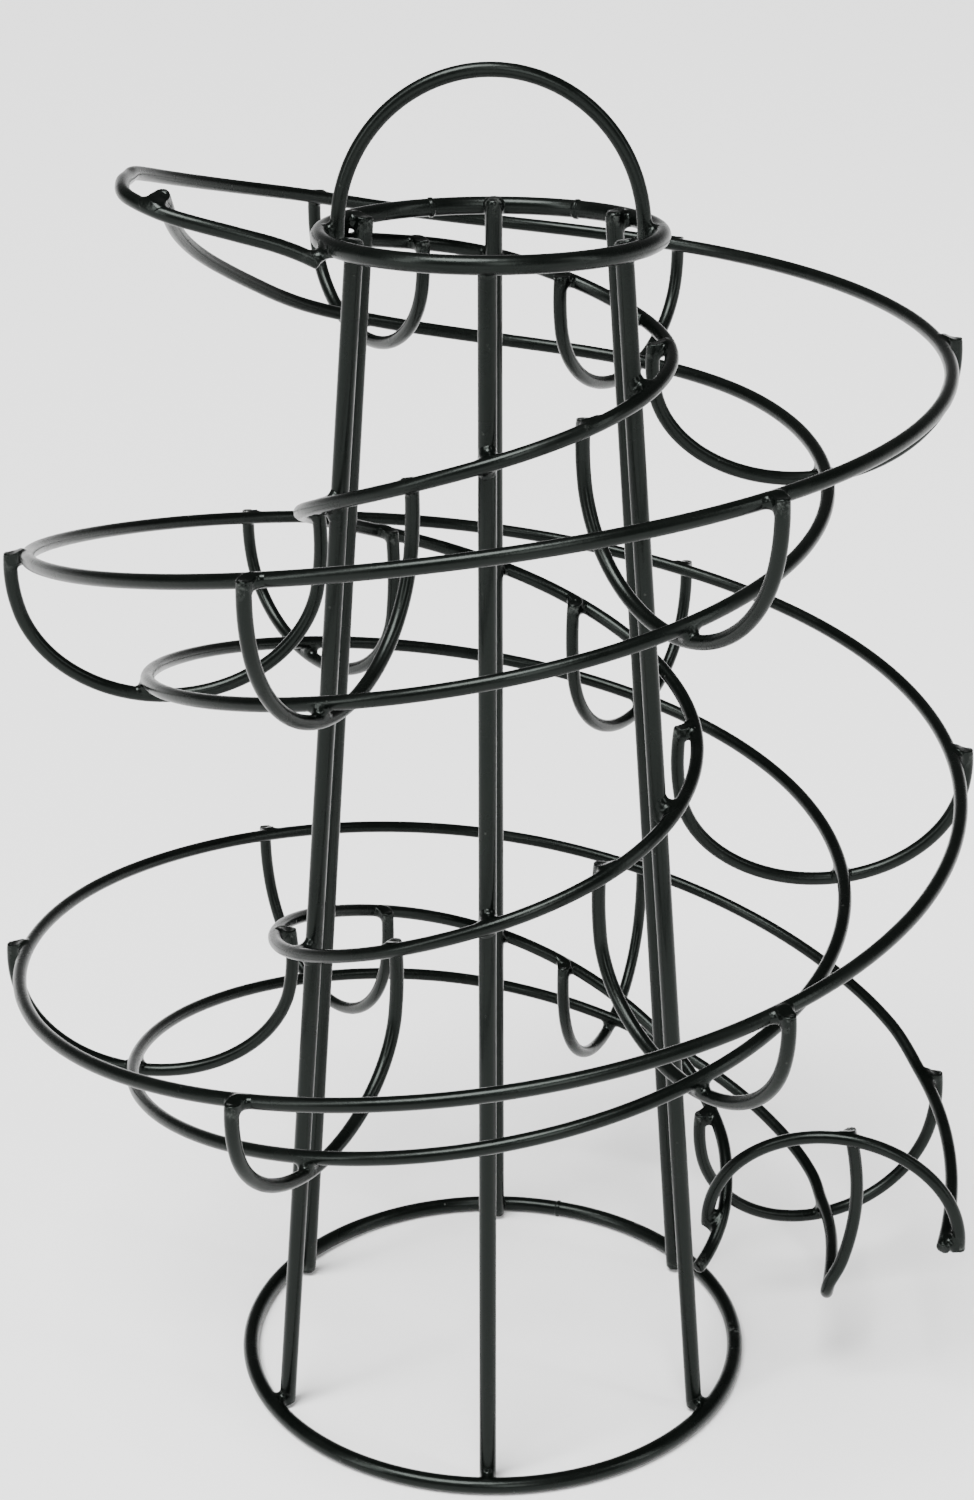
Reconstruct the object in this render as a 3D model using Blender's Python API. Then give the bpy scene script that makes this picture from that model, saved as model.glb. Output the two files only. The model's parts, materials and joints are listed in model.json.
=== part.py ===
# Countertop egg rack of bent and welded wire: three rails wind down round six leaning posts,
# and U-shaped cradles tie the rails together. Sizes in metres, +Z up, standing on Z = 0, with
# the box round the whole rack centred on X = Y = 0. A turn is an angle in degrees about the
# posts' axis, clockwise seen from above, from the front left post. It goes on past 360 as the
# rails wind down.
import math

import bpy
import numpy as np

MM = 0.001

# Wire, and the gap left at every weld
THICK_WIRE = 3.5 * MM
THIN_WIRE = 2.8 * MM
WELD_GAP = 0.3 * MM

# Frame
BASE_RING_RADIUS = 55 * MM
TOP_RING_RADIUS = 32.4 * MM
TOP_RING_HEIGHT = 248.7 * MM
POST_TURNS = (0, 60, 120, 176, 240, 300)
POST_NAMES = ("front_left", "back_left", "back", "back_right", "front_right", "front")
POST_FOOT = 1.0 * MM
POST_TIPS = (1.6, 0.9, 2.1, 1.7, 1.5, -0.4)  # mm over the top ring's centre line
FIRST_POST_ANGLE = 210

# Handle
HANDLE_FOOT_DROP = 1.6 * MM
HANDLE_STRAIGHT = 0.4 * MM
HANDLE_RISE = 29.5 * MM

# Rails. Each station is a turn, the distance out from the posts' circle and the height, both in
# mm, for a top ring at DRAWN_RING_HEIGHT. Stations move with the ring: above STRETCH_TOP all the
# way, below STRETCH_BOTTOM not at all.
DRAWN_RING_HEIGHT = 248.7 * MM
STRETCH_TOP = 235 * MM
STRETCH_BOTTOM = 30 * MM
MAIN_STATION_STEP = 60
OUTER_OFFSET = 56.6 * MM
OUTER_TIP_TURN = 4
OUTER_TIP_SLOPE = 53
OUTER_START = ((8, 11.4, 248.6), (12, 21.0, 251.4), (16.5, 31.8, 254.2), (23, 39.2, 256.6),
               (31, 41.6, 257.4), (40, 43.4, 257.2), (50, 45.6, 256), (84, 51.4, 246.4))
OUTER_HEIGHTS = (236.5, 229.5, 222.2, 212.2, 196, 177.6, 163.5, 149, 133.2, 118, 103.4, 93.6, 81.5)
OUTER_END = ((898, 56.6, 61.0), (912, 56.0, 53.8), (922, 55.0, 49.6), (932, 53.4, 45.0), (943.4, 51.0, 39.8))
BOTTOM_OFFSET = 32.6 * MM
BOTTOM_START = ((20.5, 33.2, 257.6), (26, 32, 253), (40, 31.4, 245.4), (61, 31.2, 235), (86, 32.2, 223.4))
BOTTOM_HEIGHTS = (215, 208.2, 196, 183, 168.4, 153.5, 139, 124.2, 109.4, 94.6, 79.6, 65, 50)
BOTTOM_END = ((900, 31.8, 28.8), (914, 29.8, 23.7), (930, 26.6, 22.6), (937.6, 25.5, 21.8))
BOTTOM_HOOK = ((940.8, 25.4, 22.9), (942.0, 26.3, 26.4), (941.5, 29.0, 31.6), (940.3, 31.5, 39.5),
               (939.7, 32.7, 47.4), (939.8, 32.7, 55.6), (939.9, 31.8, 63.2))
INNER_OFFSET = 4.0 * MM
INNER_START = ((51.5, 3.8, 245.0), (60, 3.8, 244.6), (80, 4, 243))
INNER_HEIGHTS = (238.8, 229.2, 223, 213.6, 201, 187, 171.5, 154.6, 139.6, 124.8, 108.6, 95.6, 79.4)
INNER_END = ((898, 4.6, 57.2), (912, 4.8, 51.3), (924, 4.6, 48.0), (933, 4.2, 44.0), (941, 3.6, 39.6),
             (948, 2.2, 35.6), (955.6, 0.9, 33.2))

# Cradles
CRADLE_TURNS = (92, 146, 205, 267, 325, 380, 443, 507, 567, 627, 686, 750, 806, 860, 914)
CRADLE_TIP = 0.9 * MM
CRADLE_STRAIGHT = 5 * MM

# Stop arch over the bottom end of the channel
ARCH_RISE = 23 * MM
ARCH_TIP = 1.4 * MM

# How finely the wires are drawn: points in each stretch of curve, degrees of bend and length
# of wire for each point kept, and sides of a ring and of a wire
SAMPLES = 24
RAIL_BEND = 8
SHORT_BEND = 12
LONGEST_STEP = 40 * MM
SAME_POINT = 0.0001 * MM
RING_SIDES = 48
PROFILE_SIDES = 8

# Satin black powder coat
COAT_COLOUR = (0.016, 0.018, 0.017, 1)
COAT_ROUGHNESS = 0.38
COAT_METALLIC = 0.0


def clearance(first, second):
    """Distance between the centre lines of two wires that are welded side by side."""
    return (first + second) / 2 + WELD_GAP


BASE_RING_HEIGHT = THICK_WIRE / 2 * math.cos(math.pi / PROFILE_SIDES)
POST_SET_IN = clearance(THICK_WIRE, THICK_WIRE)


def post_radius(height):
    """How far the posts' centre lines are from the axis at this height."""
    share = (height - BASE_RING_HEIGHT) / (TOP_RING_HEIGHT - BASE_RING_HEIGHT)
    return BASE_RING_RADIUS + share * (TOP_RING_RADIUS - BASE_RING_RADIUS) - POST_SET_IN


def to_space(turn, radius, height):
    angle = np.radians(FIRST_POST_ANGLE - np.asarray(turn))
    return np.stack([radius * np.cos(angle), radius * np.sin(angle), height + 0 * angle], axis=-1)


def smooth_rows(stations):
    """Rows of turn, radius and height on a smooth curve through the stations."""
    rows = np.array([(turn, offset * MM, height * MM) for turn, offset, height in stations])
    share = np.clip((rows[:, 2] - STRETCH_BOTTOM) / (STRETCH_TOP - STRETCH_BOTTOM), 0, 1)
    rows[:, 2] += share * (TOP_RING_HEIGHT - DRAWN_RING_HEIGHT)
    rows[:, 1] += post_radius(rows[:, 2])
    slopes = np.gradient(rows, axis=0)
    found = []
    for k in range(len(rows) - 1):
        u = np.arange(SAMPLES)[:, None] / SAMPLES
        found.append((1 + 2 * u) * (1 - u) ** 2 * rows[k] + u * (1 - u) ** 2 * slopes[k]
                     + u * u * (3 - 2 * u) * rows[k + 1] + u * u * (u - 1) * slopes[k + 1])
    found.append(rows[-1:])
    return np.concatenate(found)


def main_stations(heights, offset):
    first = 2 * MAIN_STATION_STEP
    return [(first + k * MAIN_STATION_STEP, offset / MM, height) for k, height in enumerate(heights)]


def outer_tip():
    """First station of the outer rail, tucked under the outside of the top ring."""
    away = clearance(THICK_WIRE, THIN_WIRE)
    out = away * math.cos(math.radians(OUTER_TIP_SLOPE))
    down = away * math.sin(math.radians(OUTER_TIP_SLOPE))
    offset = TOP_RING_RADIUS + out - post_radius(TOP_RING_HEIGHT - down)
    return OUTER_TIP_TURN, offset / MM, (DRAWN_RING_HEIGHT - down) / MM


def thinned(points, bend):
    """Fewer points on the same curve: one for each bend of this many degrees."""
    lengths = np.linalg.norm(np.diff(points, axis=0), axis=1)
    points = points[np.concatenate([[True], lengths > SAME_POINT])]
    steps = np.diff(points, axis=0)
    lengths = np.linalg.norm(steps, axis=1)
    ways = steps / lengths[:, None]
    turned = np.degrees(np.arccos(np.clip((ways[1:] * ways[:-1]).sum(axis=1), -1, 1)))
    travelled = np.concatenate([[0], np.cumsum(lengths)])
    bent = np.concatenate([[0], np.cumsum(turned), [turned.sum()]])
    measure = bent / bend + travelled / LONGEST_STEP
    count = max(2, int(round(measure[-1])) + 1)
    wanted = np.interp(np.linspace(0, measure[-1], count), measure, travelled)
    return np.stack([np.interp(wanted, travelled, points[:, axis]) for axis in range(3)], axis=-1)


def coat(name):
    material = bpy.data.materials.new(name)
    material.use_nodes = True
    shader = material.node_tree.nodes["Principled BSDF"]
    shader.inputs["Base Color"].default_value = COAT_COLOUR
    shader.inputs["Roughness"].default_value = COAT_ROUGHNESS
    shader.inputs["Metallic"].default_value = COAT_METALLIC
    return material


def wire(name, points, thickness, closed=False, level=False):
    """A round wire along these points. A level one has a flat facet underneath."""
    curve = bpy.data.curves.new(name, "CURVE")
    curve.dimensions = "3D"
    curve.bevel_depth = thickness / 2
    curve.bevel_resolution = (PROFILE_SIDES - 4) // 2
    curve.use_fill_caps = True
    if level:
        curve.twist_mode = "Z_UP"
    spline = curve.splines.new("POLY")
    spline.points.add(len(points) - 1)
    for point, place in zip(spline.points, points):
        point.co = (*place, 1)
        if level:
            point.tilt = math.pi / PROFILE_SIDES
    spline.use_cyclic_u = closed
    curve.materials.append(coat(f"{name} coat"))
    part = bpy.data.objects.new(name, curve)
    bpy.data.collections["Egg rack"].objects.link(part)


def ring(name, radius, height):
    turns = np.arange(RING_SIDES) * 360 / RING_SIDES
    wire(name, to_space(turns, radius, height), THICK_WIRE, closed=True, level=True)


def posts():
    for name, turn, tip in zip(POST_NAMES, POST_TURNS, POST_TIPS):
        heights = np.array([POST_FOOT, TOP_RING_HEIGHT + tip * MM])
        wire(f"post_{name}", to_space(turn, post_radius(heights), heights), THICK_WIRE)


def handle():
    """An arch in the X-Z plane, its feet inside the top ring."""
    reach = TOP_RING_RADIUS - clearance(THICK_WIRE, THIN_WIRE)
    spring = TOP_RING_HEIGHT + HANDLE_STRAIGHT
    sweep = np.radians(np.linspace(0, 180, 2 * SAMPLES + 1))
    arch = np.stack([-reach * np.cos(sweep), 0 * sweep, spring + HANDLE_RISE * np.sin(sweep)], axis=-1)
    foot = TOP_RING_HEIGHT - HANDLE_FOOT_DROP
    points = np.concatenate([[(-reach, 0, foot)], arch, [(reach, 0, foot)]])
    wire("carry_handle", thinned(points, SHORT_BEND), THIN_WIRE)


def rail(name, stations):
    rows = smooth_rows(stations)
    wire(name, thinned(to_space(*rows.T), RAIL_BEND), THIN_WIRE)
    return rows


def where(rows, turn):
    """Radius and height of a rail at this turn."""
    rows = rows[: rows[:, 0].argmax() + 1]
    return np.interp(turn, rows[:, 0], rows[:, 1]), np.interp(turn, rows[:, 0], rows[:, 2])


def under(rows, turn, distance):
    """Height of a wire that crosses under a sloping rail at this distance."""
    before, after = (where(rows, turn + side) for side in (-1, 1))
    run = math.radians(1 + 1) * (before[0] + after[0]) / 2
    return (before[1] + after[1]) / 2 - distance * math.hypot(1, (before[1] - after[1]) / run)


def cradle(name, turn, outer, bottom, inner):
    """A U in the upright plane at this turn. It holds the outer and inner rails between its
    arms and passes under the bottom rail."""
    beside = clearance(THIN_WIRE, THIN_WIRE)
    outer_radius, outer_height = where(outer, turn)
    inner_radius, inner_height = where(inner, turn)
    arms = np.array([inner_radius - beside, outer_radius + beside])
    middle, reach = arms.mean(), np.ptp(arms) / 2
    tops = np.array([inner_height, outer_height])
    spring = tops.min() - CRADLE_STRAIGHT
    off_middle = (where(bottom, turn)[0] - middle) / reach
    low = spring - (spring - under(bottom, turn, beside)) / math.sqrt(1 - off_middle**2)
    sweep = np.radians(np.linspace(0, 180, 2 * SAMPLES + 1))
    radii = np.concatenate([arms[:1], middle - reach * np.cos(sweep), arms[1:]])
    heights = np.concatenate([tops[:1] + CRADLE_TIP, spring - (spring - low) * np.sin(sweep),
                              tops[1:] + CRADLE_TIP])
    wire(name, thinned(to_space(turn, radii, heights), SHORT_BEND), THIN_WIRE)


def stop_arch(outer, bottom, inner):
    """An arch across the end of the channel, so that the last egg can't roll out. It stands just
    in front of the hook's tip."""
    beside = clearance(THIN_WIRE, THIN_WIRE)
    turn = bottom[-1, 0] + math.degrees(beside / bottom[-1, 1])
    outer_radius, outer_height = where(outer, turn)
    inner_radius, inner_height = where(inner, turn)
    feet = np.array([inner_radius - beside, outer_radius + beside])
    middle, reach = feet.mean(), np.ptp(feet) / 2
    sweep = np.radians(np.linspace(0, 180, 2 * SAMPLES + 1))
    spring = np.linspace(inner_height, outer_height, len(sweep))
    radii = np.concatenate([feet[:1], middle - reach * np.cos(sweep), feet[1:]])
    heights = np.concatenate([[inner_height - ARCH_TIP], spring + ARCH_RISE * np.sin(sweep),
                              [outer_height - ARCH_TIP]])
    wire("stop_arch", thinned(to_space(turn, radii, heights), SHORT_BEND), THIN_WIRE)


def centre_over_origin():
    """Moves every part so that the box round them all is centred on X = Y = 0."""
    bpy.context.view_layer.update()
    graph = bpy.context.evaluated_depsgraph_get()
    parts = bpy.data.collections["Egg rack"].objects
    corners = np.array([corner for part in parts for corner in part.evaluated_get(graph).bound_box])
    middle = (corners.min(axis=0) + corners.max(axis=0)) / 2
    for part in parts:
        part.location = (-middle[0], -middle[1], 0)


def build():
    for leftover in list(bpy.data.objects):
        bpy.data.objects.remove(leftover, do_unlink=True)
    bpy.context.scene.collection.children.link(bpy.data.collections.new("Egg rack"))
    ring("base_ring", BASE_RING_RADIUS, BASE_RING_HEIGHT)
    ring("top_ring", TOP_RING_RADIUS, TOP_RING_HEIGHT)
    posts()
    handle()
    outer = rail("outer_rail", [outer_tip(), *OUTER_START, *main_stations(OUTER_HEIGHTS, OUTER_OFFSET),
                                *OUTER_END])
    bottom = rail("bottom_rail", [*BOTTOM_START, *main_stations(BOTTOM_HEIGHTS, BOTTOM_OFFSET),
                                  *BOTTOM_END, *BOTTOM_HOOK])
    inner = rail("inner_rail", [*INNER_START, *main_stations(INNER_HEIGHTS, INNER_OFFSET), *INNER_END])
    for k, turn in enumerate(CRADLE_TURNS, start=1):
        cradle(f"cradle_{k:02d}", turn, outer, bottom, inner)
    stop_arch(outer, bottom, inner)
    centre_over_origin()


build()
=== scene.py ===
import json
import math

import bmesh
import bpy
import numpy as np
from mathutils import Euler, Matrix, Vector, kdtree


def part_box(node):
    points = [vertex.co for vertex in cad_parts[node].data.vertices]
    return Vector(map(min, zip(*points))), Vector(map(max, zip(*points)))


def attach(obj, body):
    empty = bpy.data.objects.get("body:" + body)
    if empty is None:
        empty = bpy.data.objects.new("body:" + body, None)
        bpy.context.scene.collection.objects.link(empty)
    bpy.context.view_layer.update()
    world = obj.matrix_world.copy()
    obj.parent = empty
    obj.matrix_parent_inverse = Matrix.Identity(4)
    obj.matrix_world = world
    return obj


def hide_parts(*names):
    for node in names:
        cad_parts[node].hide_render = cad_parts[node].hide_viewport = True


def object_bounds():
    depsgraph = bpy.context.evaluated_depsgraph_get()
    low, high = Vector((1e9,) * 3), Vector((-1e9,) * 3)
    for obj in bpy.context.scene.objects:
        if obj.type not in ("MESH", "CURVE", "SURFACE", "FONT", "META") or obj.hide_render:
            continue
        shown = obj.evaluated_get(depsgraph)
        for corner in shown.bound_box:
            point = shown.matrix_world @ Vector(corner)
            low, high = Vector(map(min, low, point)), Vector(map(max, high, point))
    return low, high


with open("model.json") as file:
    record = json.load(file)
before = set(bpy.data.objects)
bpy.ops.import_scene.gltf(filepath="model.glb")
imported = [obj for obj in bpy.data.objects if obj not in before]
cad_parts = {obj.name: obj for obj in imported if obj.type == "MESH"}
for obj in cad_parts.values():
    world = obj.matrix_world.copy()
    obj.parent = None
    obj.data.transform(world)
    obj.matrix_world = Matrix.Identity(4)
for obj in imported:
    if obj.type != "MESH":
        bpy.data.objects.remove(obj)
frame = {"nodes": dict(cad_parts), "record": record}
cadLow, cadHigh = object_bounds()
mm = 0.001

# posts and rings are of thick wire; rails, cradles, arch and handle of thin
thickWire = {"radius": 1.75 * mm, "sides": 28, "step": 1.2 * mm, "endRound": 1.0 * mm, "worn": 4 * mm}
thinWire = {"radius": 1.40 * mm, "sides": 24, "step": 1.0 * mm, "endRound": 0.75 * mm, "worn": 4 * mm}

slotOf = {row["node"]: row["material_slot"] for row in frame["record"]["subparts"]}
wireNames = sorted(frame["nodes"])
ringNames = ["base_ring", "top_ring"]


def wireSizes(name):
    return thickWire if "ring" in name or "post" in name else thinWire


# sums on sockets, for shaders and for node-made shapes alike

class Flow:
    def __init__(self, bench, socket):
        self.bench = bench
        self.socket = socket

    def __add__(self, other):
        return self.bench.sums("ADD", self, other)

    def __radd__(self, other):
        return self.bench.sums("ADD", other, self)

    def __sub__(self, other):
        return self.bench.sums("SUBTRACT", self, other)

    def __rsub__(self, other):
        return self.bench.sums("SUBTRACT", other, self)

    def __mul__(self, other):
        return self.bench.sums("MULTIPLY", self, other)

    def __truediv__(self, other):
        return self.bench.sums("DIVIDE", self, other)


class Bench:
    def __init__(self, tree):
        self.tree = tree

    def add(self, kind, settings=None, values=None, out=0):
        node = self.tree.nodes.new(kind)
        for name, value in (settings or {}).items():
            setattr(node, name, value)
        for name, value in (values or {}).items():
            self.feed(node.inputs[name], value)
        return Flow(self, node.outputs[out]) if node.outputs else None  # an output node has no outputs

    def feed(self, socket, value):
        if isinstance(value, Flow):
            self.tree.links.new(value.socket, socket)
        else:
            socket.default_value = value

    def sums(self, operation, *terms):
        return self.add("ShaderNodeMath", {"operation": operation}, dict(enumerate(terms)))

    def arrows(self, operation, *terms, out="Vector"):
        return self.add("ShaderNodeVectorMath", {"operation": operation}, dict(enumerate(terms)), out)

    def stretch(self, arrow, length):
        return self.add("ShaderNodeVectorMath", {"operation": "SCALE"}, {0: arrow, "Scale": length})

    def ramp(self, value, low, high, start=0.0, end=1.0):
        return self.add("ShaderNodeMapRange", {"interpolation_type": "SMOOTHSTEP"},
                        {"Value": value, "From Min": low, "From Max": high, "To Min": start, "To Max": end})

    def noise(self, place, texture):
        return self.add("ShaderNodeTexNoise", None, {"Vector": place, **texture})

    def cells(self, place, texture, out):
        return self.add("ShaderNodeTexVoronoi", {"feature": "F1"}, {"Vector": place, **texture}, out)

    def blendColours(self, share, first, second):
        return self.add("ShaderNodeMix", {"data_type": "RGBA"}, {0: share, 6: first, 7: second}, 2)

    def arrange(self, across=12, gapX=190, gapY=230):
        for number, node in enumerate(self.tree.nodes):
            node.location = (number % across * gapX, -(number // across) * gapY)


# the finish: satin black powder coat

coatLook = {
    "black": (0.0010, 0.0015, 0.0012, 1),
    "dust": (0.030, 0.033, 0.030, 1),
    # the end grey is real wear of the coat and also a painted highlight standing in for pale glints at the
    # cut ends
    "worn": (0.05, 0.054, 0.051, 1),
    "tint": (0.88, 1.0, 0.93, 1),
    "roughness": 0.26,
    "shine": 0.15,
    "refraction": 1.5,
    "peelHeight": 0.020 * mm,
    "grainHeight": 0.008 * mm,
    "speckHeight": 0.030 * mm,
    "spatterHeight": 0.05 * mm,
    "weldRoughness": -0.05,  # beads are a little smoother
}

coatTextures = {  # scales are per metre
    "peel": {"Scale": 1150, "Detail": 2.0, "Roughness": 0.45},
    "grain": {"Scale": 2700, "Detail": 1.0},
    "pool": {"Scale": 95, "Detail": 3.0, "Roughness": 0.6},
    "drift": {"Scale": 22, "Detail": 2.0},
    "specks": {"Scale": 330, "Randomness": 1.0},
    "scuff": {"Scale": 620, "Detail": 4.0, "Roughness": 0.7},
    "spatter": {"Scale": 780, "Detail": 3.0, "Roughness": 0.6},
}

coatRanges = {  # where each mark fades in
    "speckEdge": (0.11, 0.05),
    "speckPick": (0.80, 0.84),  # under a fifth of the cells hold a speck
    "wornPatch": (0.46, 0.66),
    "rubPatch": (0.66, 0.74),
    "rubPlace": (0.56, 0.66),
    "poolDust": (0.3, 0.75, 0.0, 0.03),
}

coatShares = {
    "worn": 0.8,
    "rub": 0.5,
    "speckDust": 0.55,
    "poolRoughness": 0.16,
    "driftRoughness": 0.10,
    "speckRoughness": 0.25,
    "wornRoughness": 0.08,
}


def powderCoat(name, lumpy=False):
    coat = bpy.data.materials.new(name)
    coat.use_nodes = True
    coat.node_tree.nodes.clear()
    bench = Bench(coat.node_tree)
    place = bench.add("ShaderNodeTexCoord", out="Object")
    peel, grain, pool, drift, scuff = [
        bench.noise(place, coatTextures[kind]) for kind in ("peel", "grain", "pool", "drift", "scuff")]
    cellEdge = bench.cells(place, coatTextures["specks"], "Distance")
    cellColour = bench.cells(place, coatTextures["specks"], "Color")
    cellPick = bench.add("ShaderNodeSeparateColor", None, {"Color": cellColour})
    speck = bench.ramp(cellEdge, *coatRanges["speckEdge"]) * bench.ramp(cellPick, *coatRanges["speckPick"])
    cutEnd = bench.add("ShaderNodeAttribute", {"attribute_name": "cutEnd"}, None, "Fac")
    # painted highlight: the cut ends are lightened as if catching pale glints, together with real wear of a
    # thinner coat there
    worn = cutEnd * bench.ramp(scuff, *coatRanges["wornPatch"]) * coatShares["worn"]
    rub = bench.ramp(scuff, *coatRanges["rubPatch"]) * bench.ramp(drift, *coatRanges["rubPlace"])
    rub = rub * coatShares["rub"]

    shade = bench.blendColours(bench.ramp(pool, *coatRanges["poolDust"]), coatLook["black"], coatLook["dust"])
    shade = bench.blendColours(speck * coatShares["speckDust"], shade, coatLook["dust"])
    # lightens rubbed patches and the cut ends; at the cut ends this is partly a painted highlight
    shade = bench.blendColours(bench.sums("MAXIMUM", worn, rub), shade, coatLook["worn"])

    rough = coatLook["roughness"] + (pool - 0.5) * coatShares["poolRoughness"]
    rough = rough + (drift - 0.5) * coatShares["driftRoughness"]
    rough = rough + speck * coatShares["speckRoughness"] - worn * coatShares["wornRoughness"]

    height = peel * coatLook["peelHeight"] + grain * coatLook["grainHeight"]
    height = height + speck * coatLook["speckHeight"]
    if lumpy:
        height = height + bench.noise(place, coatTextures["spatter"]) * coatLook["spatterHeight"]
        rough = rough + coatLook["weldRoughness"]
    bump = bench.add("ShaderNodeBump", None, {"Height": height / mm, "Distance": mm, "Strength": 1.0})
    paint = bench.add("ShaderNodeBsdfPrincipled", None, {
        "Base Color": shade, "Roughness": rough, "Normal": bump, "IOR": coatLook["refraction"],
        "Specular IOR Level": coatLook["shine"], "Specular Tint": coatLook["tint"]})
    bench.add("ShaderNodeOutputMaterial", None, {"Surface": paint})
    bench.arrange()
    coat.diffuse_color = coatLook["black"]
    return coat


coats = {
    "frame_coat": powderCoat("frame_powder_coat"),
    "rail_coat": powderCoat("rail_powder_coat"),
    "cradle_coat": powderCoat("cradle_powder_coat"),
}
weldCoat = powderCoat("weld_powder_coat", lumpy=True)
print("coats mixed:", len(coats) + 1)


# the line that each wire follows, read back from the fixed frame

solidWire = {"corners": 8, "sharpTurn": 1.2, "mergeWithin": 0.001 * mm}  # turn in radians
tipStations = {"count": 6, "clear": 1.8}  # clear of the even stations, in end roundings
ringPoints = 360  # one for each degree


def endRing(solid):
    # the corners round one flat end
    sharp = {edge for edge in solid.edges
             if len(edge.link_faces) == 2 and edge.calc_face_angle() > solidWire["sharpTurn"]}
    unvisited = {vert for edge in sharp for vert in edge.verts}
    found = []
    while unvisited:
        ring = {unvisited.pop()}
        while True:
            more = {edge.other_vert(vert) for vert in ring for edge in vert.link_edges if edge in sharp}
            if more <= ring:
                break
            ring |= more
        unvisited -= ring
        if len(ring) == solidWire["corners"]:
            found.append(ring)
    return min(found, key=lambda ring: min(vert.index for vert in ring))


def centreLine(name):
    solid = bmesh.new()
    solid.from_mesh(frame["nodes"][name].data)
    bmesh.ops.remove_doubles(solid, verts=solid.verts, dist=solidWire["mergeWithin"])
    solid.verts.index_update()
    rings = [endRing(solid)]
    seen = set(rings[0])
    while True:
        nextRing = {edge.other_vert(vert) for vert in rings[-1] for edge in vert.link_edges} - seen
        if not nextRing:
            break
        rings.append(nextRing)
        seen |= nextRing
    whole = [ring for ring in rings if len(ring) == solidWire["corners"]]
    if len(whole) < len(rings):
        print("  ", name, "has", len(rings) - len(whole), "odd rings of", len(rings))
    centres = [sum((vert.co for vert in ring), Vector()) / len(ring) for ring in whole]
    solid.free()
    return np.array(centres)


def ringLine(name, radius):
    low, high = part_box(name)
    middle = (low + high) / 2
    reach = (high.x - low.x) / 2 - radius
    turns = np.linspace(0, 2 * math.pi, ringPoints, endpoint=False)
    level = np.full_like(turns, low.z + radius)  # the base ring just touches the table
    return np.column_stack([middle.x + reach * np.cos(turns), middle.y + reach * np.sin(turns), level])


def eased(points, step, endRound):
    # cubic through the points by chord length, closer together at the rounded ends
    chord = np.linalg.norm(np.diff(points, axis=0), axis=1)
    along = np.concatenate([[0], np.cumsum(chord)])
    slope = np.gradient(points, along, axis=0, edge_order=2 if len(points) > 2 else 1)
    count = max(2, int(round(along[-1] / step)))
    tip = endRound * (1 - np.cos(np.linspace(0, math.pi / 2, tipStations["count"])))
    clear = tipStations["clear"] * endRound
    inner = np.linspace(0, along[-1], count + 1)
    inner = inner[(inner > clear) & (inner < along[-1] - clear)]
    stations = np.concatenate([tip, inner, along[-1] - tip[::-1]])
    piece = np.clip(np.searchsorted(along, stations, side="right") - 1, 0, len(chord) - 1)
    run = chord[piece]
    part = ((stations - along[piece]) / run)[:, None]
    run = run[:, None]
    first, last = points[piece], points[piece + 1]
    leave, arrive = slope[piece] * run, slope[piece + 1] * run
    return ((2 * part**3 - 3 * part**2 + 1) * first + (part**3 - 2 * part**2 + part) * leave
            + (3 * part**2 - 2 * part**3) * last + (part**3 - part**2) * arrive)


lines = {}
for name in wireNames:
    sizes = wireSizes(name)
    if name in ringNames:
        lines[name] = ringLine(name, sizes["radius"])
    else:
        lines[name] = eased(centreLine(name), sizes["step"], sizes["endRound"])
print("centre lines:", len(lines), "points", sum(len(line) for line in lines.values()))


# bent wire: one tree sweeps every piece

def treeInput(tree, kind, name, default=None):
    entry = tree.interface.new_socket(name, in_out="INPUT", socket_type=kind)
    if default is not None:
        entry.default_value = default
    return entry.identifier


def treeFlows(tree, bench, keys):
    given = tree.nodes.new("NodeGroupInput")
    return [Flow(bench, socket) for socket in given.outputs[:len(keys)]]


def endTree(tree, bench, shape, name):
    tree.interface.new_socket(name, in_out="OUTPUT", socket_type="NodeSocketGeometry")
    result = tree.nodes.new("NodeGroupOutput")
    tree.links.new(shape.socket, result.inputs[0])
    bench.arrange()


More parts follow.
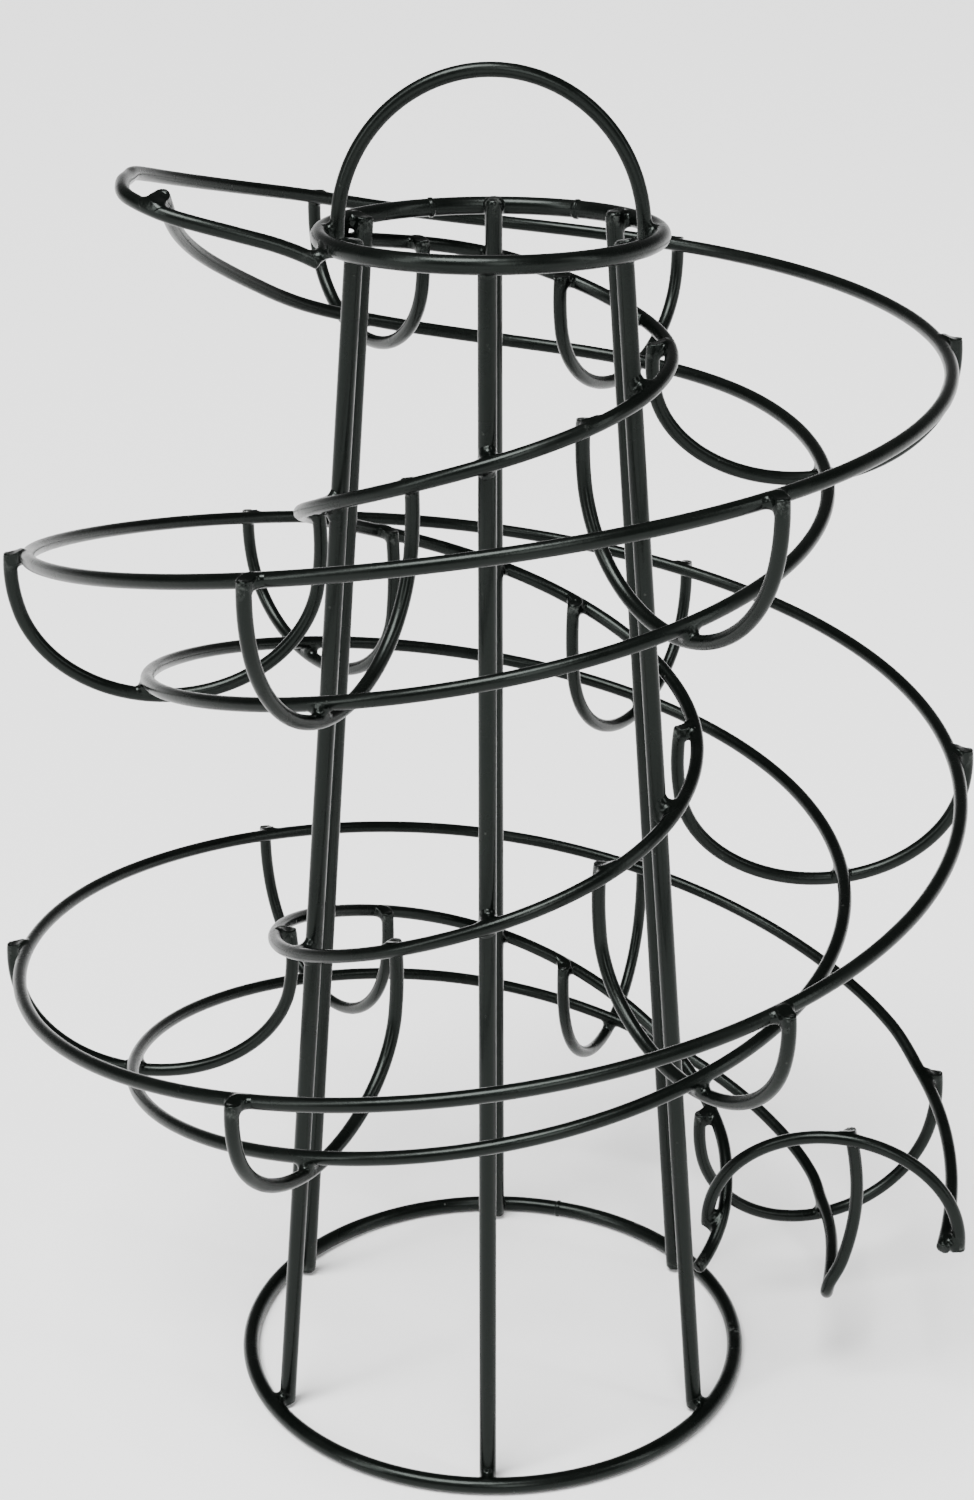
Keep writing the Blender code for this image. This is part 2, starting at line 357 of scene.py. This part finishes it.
def bentWireTree():
    tree = bpy.data.node_groups.new("bent_wire", "GeometryNodeTree")
    bench = Bench(tree)
    keys = {
        "line": treeInput(tree, "NodeSocketGeometry", "Line"),
        "radius": treeInput(tree, "NodeSocketFloat", "Wire radius", thinWire["radius"]),
        "endRound": treeInput(tree, "NodeSocketFloat", "End rounding", thinWire["endRound"]),
        "sides": treeInput(tree, "NodeSocketInt", "Sides", thinWire["sides"]),
        "worn": treeInput(tree, "NodeSocketFloat", "Worn length", thinWire["worn"]),
        "coat": treeInput(tree, "NodeSocketMaterial", "Coat"),
    }
    line, radius, endRound, sides, worn, coat = treeFlows(tree, bench, keys)
    curve = bench.add("GeometryNodeMeshToCurve", None, {"Mesh": line})
    fromStart = bench.add("GeometryNodeSplineParameter", out="Length")
    length = bench.add("GeometryNodeSplineLength")
    fromEnd = bench.sums("MINIMUM", fromStart, length - fromStart)
    rise = endRound - bench.sums("MINIMUM", fromEnd, endRound)
    bulge = bench.sums("SQRT", bench.sums("MAXIMUM", endRound * endRound - rise * rise, 0.0))
    thickness = radius - endRound + bulge
    # mask near each cut end, for the painted end glints and the real wear there
    nearEnd = bench.ramp(fromEnd / worn, 0.0, 1.0, 1.0, 0.0)
    curve = bench.add("GeometryNodeStoreNamedAttribute", {"domain": "POINT", "data_type": "FLOAT"},
                      {"Geometry": curve, "Name": "cutEnd", "Value": nearEnd})
    profile = bench.add("GeometryNodeCurvePrimitiveCircle", None, {"Resolution": sides, "Radius": 1.0})
    wire = bench.add("GeometryNodeCurveToMesh", None,
                     {"Curve": curve, "Profile Curve": profile, "Scale": thickness, "Fill Caps": True})
    wire = bench.add("GeometryNodeSetShadeSmooth", None, {"Geometry": wire})
    wire = bench.add("GeometryNodeRealizeInstances", None, {"Geometry": wire})
    wire = bench.add("GeometryNodeSetMaterial", None, {"Geometry": wire, "Material": coat})
    endTree(tree, bench, wire, "Wire")
    return tree, keys


def lineMesh(name, points, closed):
    mesh = bpy.data.meshes.new(name)
    edges = [(number, number + 1) for number in range(len(points) - 1)]
    if closed:
        edges.append((len(points) - 1, 0))
    mesh.from_pydata([tuple(point) for point in points], edges, [])
    return mesh


def baked(name, mesh, tree, keys, inputs):
    # runs the tree once and keeps its plain mesh
    draft = bpy.data.objects.new(name + "_draft", mesh)
    bpy.context.scene.collection.objects.link(draft)
    modifier = draft.modifiers.new("shape", "NODES")
    modifier.node_group = tree
    for key, value in inputs.items():
        modifier[keys[key]] = value
    graph = bpy.context.evaluated_depsgraph_get()
    made = bpy.data.meshes.new_from_object(draft.evaluated_get(graph))
    draft.modifiers.remove(modifier)
    bpy.data.objects.remove(draft)
    bpy.data.meshes.remove(mesh)
    piece = bpy.data.objects.new(name, made)
    made.name = name
    bpy.context.scene.collection.objects.link(piece)
    return piece


wireTree, wireKeys = bentWireTree()
wires = {}
for name in wireNames:
    sizes = wireSizes(name)
    closed = name in ringNames
    wires[name] = baked(name + "_wire", lineMesh(name + "_line", lines[name], closed), wireTree, wireKeys, {
        "radius": sizes["radius"], "endRound": 0.0 if closed else sizes["endRound"],
        "sides": sizes["sides"], "worn": sizes["worn"], "coat": coats[slotOf[name]]})
    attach(wires[name], "root")
    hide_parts(name)
print("wires swept:", len(wires), "faces", sum(len(wire.data.polygons) for wire in wires.values()))


# welds: a bead of melted wire and coat fills the nook wherever two wires meet

beadLook = {
    "nook": 1.9 * mm,
    "reach": 3.4 * mm,
    "sink": 0.05 * mm,
    "ripple": 0.10 * mm,
    "fineness": 5,
    "seed": 3.0,
    "touch": 1.45 * mm,  # wires no further apart than this are welded
    "gapFill": 2.0,
    "steps": 18,
    "stride": 0.9,
    "unevenness": {"Scale": 520.0, "Detail": 2.0},
}
seamLook = {"lap": 0.08 * mm, "thin": -0.52 * mm}
ringSeams = [("top_ring", 113), ("top_ring", 59), ("base_ring", 74)]  # butt welds round the rings, degrees

arrowRows = ["offA", "offB", "wayA", "wayB"]
numberRows = ["tipA", "tipB", "radiusA", "radiusB", "gap"]


def closestRuns(first, second, within):
    # where two lines pass this close: the nearest pair of each unbroken run
    tree = kdtree.KDTree(len(second))
    for number, point in enumerate(second):
        tree.insert(point, number)
    tree.balance()
    runs, run = [], []
    for number, point in enumerate(first):
        _, other, gap = tree.find(point)
        if gap < within:
            run.append((gap, number, other))
        elif run:
            runs.append(min(run))
            run = []
    if run:
        runs.append(min(run))
    return [(number, other) for _, number, other in runs]


def lineWay(line, number, closed):
    # unit direction there, turned towards the nearer end, and how far off that end is
    if closed:
        way = Vector(line[(number + 1) % len(line)] - line[number - 1])
        return way.normalized(), 1.0  # a ring has no end near
    before, after = max(number - 2, 0), min(number + 2, len(line) - 1)
    way = Vector(line[after] - line[before]).normalized()
    toStart = float(np.linalg.norm(line[number] - line[0]))
    toEnd = float(np.linalg.norm(line[number] - line[-1]))
    return (way, toEnd) if toEnd < toStart else (-way, toStart)


def weldAt(first, second, one, two):
    radiusA, radiusB = wireSizes(first)["radius"], wireSizes(second)["radius"]
    a, b = Vector(lines[first][one]), Vector(lines[second][two])
    centre = a.lerp(b, radiusA / (radiusA + radiusB))
    wayA, tipA = lineWay(lines[first], one, first in ringNames)
    wayB, tipB = lineWay(lines[second], two, second in ringNames)
    return {"pair": (first, second), "centre": centre, "offA": a - centre, "offB": b - centre,
            "wayA": wayA, "wayB": wayB, "tipA": tipA, "tipB": tipB,
            "radiusA": radiusA, "radiusB": radiusB, "gap": max((b - a).length - radiusA - radiusB, 0)}


def findWelds():
    found = []
    for number, first in enumerate(wireNames):
        for second in wireNames[number + 1:]:
            within = wireSizes(first)["radius"] + wireSizes(second)["radius"] + beadLook["touch"]
            for one, two in closestRuns(lines[first], lines[second], within):
                found.append(weldAt(first, second, one, two))
    return found


def ringSeam(name, degrees):
    number = degrees % ringPoints
    way, _ = lineWay(lines[name], number, True)
    radius = wireSizes(name)["radius"]
    return {"pair": (name, name), "centre": Vector(lines[name][number]), "offA": Vector(), "offB": Vector(),
            "wayA": way, "wayB": -way, "tipA": seamLook["lap"], "tipB": seamLook["lap"],
            "radiusA": radius, "radiusB": radius, "gap": seamLook["thin"]}


def weldBeadTree():
    tree = bpy.data.node_groups.new("weld_beads", "GeometryNodeTree")
    bench = Bench(tree)
    keys = {
        "joints": treeInput(tree, "NodeSocketGeometry", "Joints"),
        "nook": treeInput(tree, "NodeSocketFloat", "Nook fill", beadLook["nook"]),
        "reach": treeInput(tree, "NodeSocketFloat", "Reach", beadLook["reach"]),
        "sink": treeInput(tree, "NodeSocketFloat", "Sink", beadLook["sink"]),
        "ripple": treeInput(tree, "NodeSocketFloat", "Ripple", beadLook["ripple"]),
        "fineness": treeInput(tree, "NodeSocketInt", "Fineness", beadLook["fineness"]),
        "seed": treeInput(tree, "NodeSocketFloat", "Seed", beadLook["seed"]),
        "table": treeInput(tree, "NodeSocketFloat", "Table height", 0.0),
        "coat": treeInput(tree, "NodeSocketMaterial", "Coat"),
    }
    joints, nook, reach, sink, ripple, fineness, seed, table, coat = treeFlows(tree, bench, keys)

    def read(name, kind="FLOAT"):
        return bench.add("GeometryNodeInputNamedAttribute", {"data_type": kind}, {"Name": name})

    def keep(shape, name, value):
        return bench.add("GeometryNodeStoreNamedAttribute", {"domain": "POINT", "data_type": "FLOAT_VECTOR"},
                         {"Geometry": shape, "Name": name, "Value": value})

    spot = bench.add("GeometryNodeInputPosition")
    ball = bench.add("GeometryNodeMeshIcoSphere", None, {"Radius": 1.0, "Subdivisions": fineness})
    beads = bench.add("GeometryNodeInstanceOnPoints", None,
                      {"Points": keep(joints, "centre", spot), "Instance": keep(ball, "ray", spot)})
    beads = bench.add("GeometryNodeRealizeInstances", None, {"Geometry": beads})
    centre, ray = read("centre", "FLOAT_VECTOR"), read("ray", "FLOAT_VECTOR")
    beads = bench.add("GeometryNodeSetPosition", None, {"Geometry": beads, "Position": centre})

    def wireDepth(local, letter):
        # how far a point is outside one wire, its cut end counted
        offset = bench.arrows("SUBTRACT", local, read("off" + letter, "FLOAT_VECTOR"))
        way = read("way" + letter, "FLOAT_VECTOR")
        along = bench.arrows("DOT_PRODUCT", offset, way, out="Value")
        across = bench.arrows("SUBTRACT", offset, bench.stretch(way, along))
        side = bench.arrows("LENGTH", across, out="Value") - read("radius" + letter)
        return bench.sums("MAXIMUM", side, along - read("tip" + letter))

    # each step moves every point out along its ray, by most of its distance to the melted surface
    goIn = tree.nodes.new("GeometryNodeRepeatInput")
    goOut = tree.nodes.new("GeometryNodeRepeatOutput")
    goIn.pair_with_output(goOut)
    goIn.inputs["Iterations"].default_value = beadLook["steps"]
    tree.links.new(beads.socket, goIn.inputs["Geometry"])
    local = bench.arrows("SUBTRACT", spot, centre)
    depthA, depthB = wireDepth(local, "A"), wireDepth(local, "B")
    fill = nook + read("gap") * beadLook["gapFill"]
    overlap = bench.sums("MAXIMUM", fill - bench.sums("ABSOLUTE", depthA - depthB), 0.0)
    share = bench.sums("MINIMUM", overlap / fill, 1.0)
    uneven = bench.add("ShaderNodeTexNoise", {"noise_dimensions": "4D"},
                       {"Vector": spot, "W": seed, **beadLook["unevenness"]})
    depth = bench.sums("MINIMUM", depthA, depthB) - overlap * overlap / (fill * 4.0)
    depth = depth - (uneven - 0.5) * ripple * share * 2.0 + sink * (1.0 - share * share)
    gone = bench.arrows("LENGTH", local, out="Value")
    onward = bench.sums("MAXIMUM", gone - depth * beadLook["stride"], 0.0)
    onward = bench.sums("MAXIMUM", bench.sums("MINIMUM", onward, reach), gone)
    moved = bench.add("GeometryNodeSetPosition", None,
                      {"Geometry": Flow(bench, goIn.outputs["Geometry"]),
                       "Position": bench.arrows("ADD", centre, bench.stretch(ray, onward))})
    tree.links.new(moved.socket, goOut.inputs["Geometry"])
    beads = Flow(bench, goOut.outputs["Geometry"])

    parts = bench.add("ShaderNodeSeparateXYZ", None, {"Vector": spot})
    x, y, z = [Flow(bench, socket) for socket in parts.socket.node.outputs]
    lifted = bench.add("ShaderNodeCombineXYZ", None, {"X": x, "Y": y, "Z": bench.sums("MAXIMUM", z, table)})
    beads = bench.add("GeometryNodeSetPosition", None, {"Geometry": beads, "Position": lifted})
    beads = bench.add("GeometryNodeSetShadeSmooth", None, {"Geometry": beads})
    beads = bench.add("GeometryNodeRealizeInstances", None, {"Geometry": beads})
    beads = bench.add("GeometryNodeSetMaterial", None, {"Geometry": beads, "Material": coat})
    endTree(tree, bench, beads, "Beads")
    return tree, keys


def jointMesh(name, joints):
    mesh = bpy.data.meshes.new(name)
    mesh.from_pydata([tuple(joint["centre"]) for joint in joints], [], [])
    for row in arrowRows:
        values = mesh.attributes.new(row, "FLOAT_VECTOR", "POINT")
        values.data.foreach_set("vector", [part for joint in joints for part in joint[row]])
    for row in numberRows:
        values = mesh.attributes.new(row, "FLOAT", "POINT")
        values.data.foreach_set("value", [joint[row] for joint in joints])
    return mesh


def weldGroup(pair):
    kinds = "".join(pair)
    if "cradle" in kinds:
        return "cradle_%s_welds" % ("base" if "bottom" in kinds else "outer" if "outer" in kinds else "inner")
    if "rail" in kinds or "arch" in kinds:
        return "rail_welds"
    return "frame_welds"


groups = {}
for joint in findWelds() + [ringSeam(name, degrees) for name, degrees in ringSeams]:
    groups.setdefault(weldGroup(joint["pair"]), []).append(joint)
beadTree, beadKeys = weldBeadTree()
for number, group in enumerate(sorted(groups)):
    inputs = {key: beadLook[key] for key in ("nook", "reach", "sink", "ripple", "fineness")}
    inputs.update({"seed": beadLook["seed"] + number, "table": cadLow.z, "coat": weldCoat})
    beads = baked(group, jointMesh(group + "_joints", groups[group]), beadTree, beadKeys, inputs)
    for row in ["centre", "ray"] + arrowRows + numberRows:
        beads.data.attributes.remove(beads.data.attributes[row])
    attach(beads, "root")
    print(group, len(groups[group]), "beads", len(beads.data.polygons), "faces")


# floor, light and camera

studio = {
    "floorRadius": 14.0,
    "floorSides": 96,
    "floorTone": (0.94, 0.94, 0.937, 1),
    "floorRoughness": 0.85,
    "floorShine": 0.2,
    "wallGlow": 1.5,
    "ceilingGlow": 0.16,
    "ceilingEdge": (0.03, 0.30),  # how far up the walls fade into the dim ceiling
    "sun": 7.6,
    "sunSpread": 32,
    "sunFrom": (-0.25, -0.35, 1.0),
    "rackMiddle": (0, 0, 0.14),
}

softLamps = {
    "left_softbox": {"place": (-2.6, -1.8, 1.9), "width": 0.7, "height": 2.8, "power": 70},
    "right_softbox": {"place": (2.8, -1.2, 1.7), "width": 0.4, "height": 2.8, "power": 36},
    "front_softbox": {"place": (0.5, -3.4, 2.1), "width": 0.8, "height": 2.0, "power": 50},
}


def floorDisc():
    mesh = bpy.data.meshes.new("studio_floor")
    disc = bmesh.new()
    bmesh.ops.create_circle(disc, cap_ends=True, segments=studio["floorSides"], radius=studio["floorRadius"])
    disc.to_mesh(mesh)
    disc.free()
    floor = bpy.data.objects.new("studio_floor", mesh)
    bpy.context.scene.collection.objects.link(floor)
    paint = bpy.data.materials.new("pale_floor")
    paint.use_nodes = True
    paint.node_tree.nodes.clear()
    bench = Bench(paint.node_tree)
    surface = bench.add("ShaderNodeBsdfPrincipled", None, {
        "Base Color": studio["floorTone"], "Roughness": studio["floorRoughness"],
        "Specular IOR Level": studio["floorShine"]})
    bench.add("ShaderNodeOutputMaterial", None, {"Surface": surface})
    mesh.materials.append(paint)


def paleRoom():
    world = bpy.data.worlds.new("pale_room")
    world.use_nodes = True
    world.node_tree.nodes.clear()
    bench = Bench(world.node_tree)
    way = bench.add("ShaderNodeTexCoord", out="Generated")
    height = bench.add("ShaderNodeSeparateXYZ", None, {"Vector": way}, "Z")
    strength = bench.ramp(height, *studio["ceilingEdge"], studio["wallGlow"], studio["ceilingGlow"])
    glow = bench.add("ShaderNodeBackground", None, {"Color": (1, 1, 1, 1), "Strength": strength})
    bench.add("ShaderNodeOutputWorld", None, {"Surface": glow})
    bpy.context.scene.world = world


def hang(name, lamp, place, target):
    holder = bpy.data.objects.new(name, lamp)
    holder.location = place
    holder.rotation_euler = (Vector(target) - Vector(place)).to_track_quat("-Z", "Y").to_euler()
    bpy.context.scene.collection.objects.link(holder)


def overheadGlow(name):
    lamp = bpy.data.lights.new(name, "SUN")
    lamp.energy = studio["sun"]
    lamp.angle = math.radians(studio["sunSpread"])
    hang(name, lamp, studio["sunFrom"], (0, 0, 0))


def softLamp(name, place, width, height, power):
    lamp = bpy.data.lights.new(name, "AREA")
    lamp.shape = "RECTANGLE"
    lamp.size = width
    lamp.size_y = height
    lamp.energy = power
    hang(name, lamp, place, studio["rackMiddle"])


floorDisc()
paleRoom()
overheadGlow("overhead_glow")
for name, settings in softLamps.items():
    softLamp(name, **settings)

cameraLook = {
    "place": (10.186 * mm, -473.06 * mm, 330.63 * mm),  # from the base ring's centre on the table
    "down": 0.405131,
    "turn": 0.02362,
    "roll": -0.002838,
    "lens": 59.453,
    "filmWidth": 36,
    "shiftUp": 0.04915,
    "nearest": 0.01,
    "furthest": 60,
}
ringLow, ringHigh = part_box("base_ring")
ringMiddle = (ringLow + ringHigh) / 2
eye = bpy.data.cameras.new("front_camera")
eye.lens = cameraLook["lens"]
eye.sensor_fit = "AUTO"
eye.sensor_width = cameraLook["filmWidth"]
eye.shift_y = cameraLook["shiftUp"]
eye.clip_start = cameraLook["nearest"]
eye.clip_end = cameraLook["furthest"]
camera = bpy.data.objects.new("front_camera", eye)
aim = Euler((math.pi / 2 - cameraLook["down"], 0, cameraLook["turn"]), "XYZ").to_matrix()
camera.rotation_euler = (aim @ Matrix.Rotation(cameraLook["roll"], 3, "Z")).to_euler()
camera.location = Vector((ringMiddle.x, ringMiddle.y, 0)) + Vector(cameraLook["place"])
bpy.context.scene.collection.objects.link(camera)
bpy.context.scene.camera = camera
print("studio set")
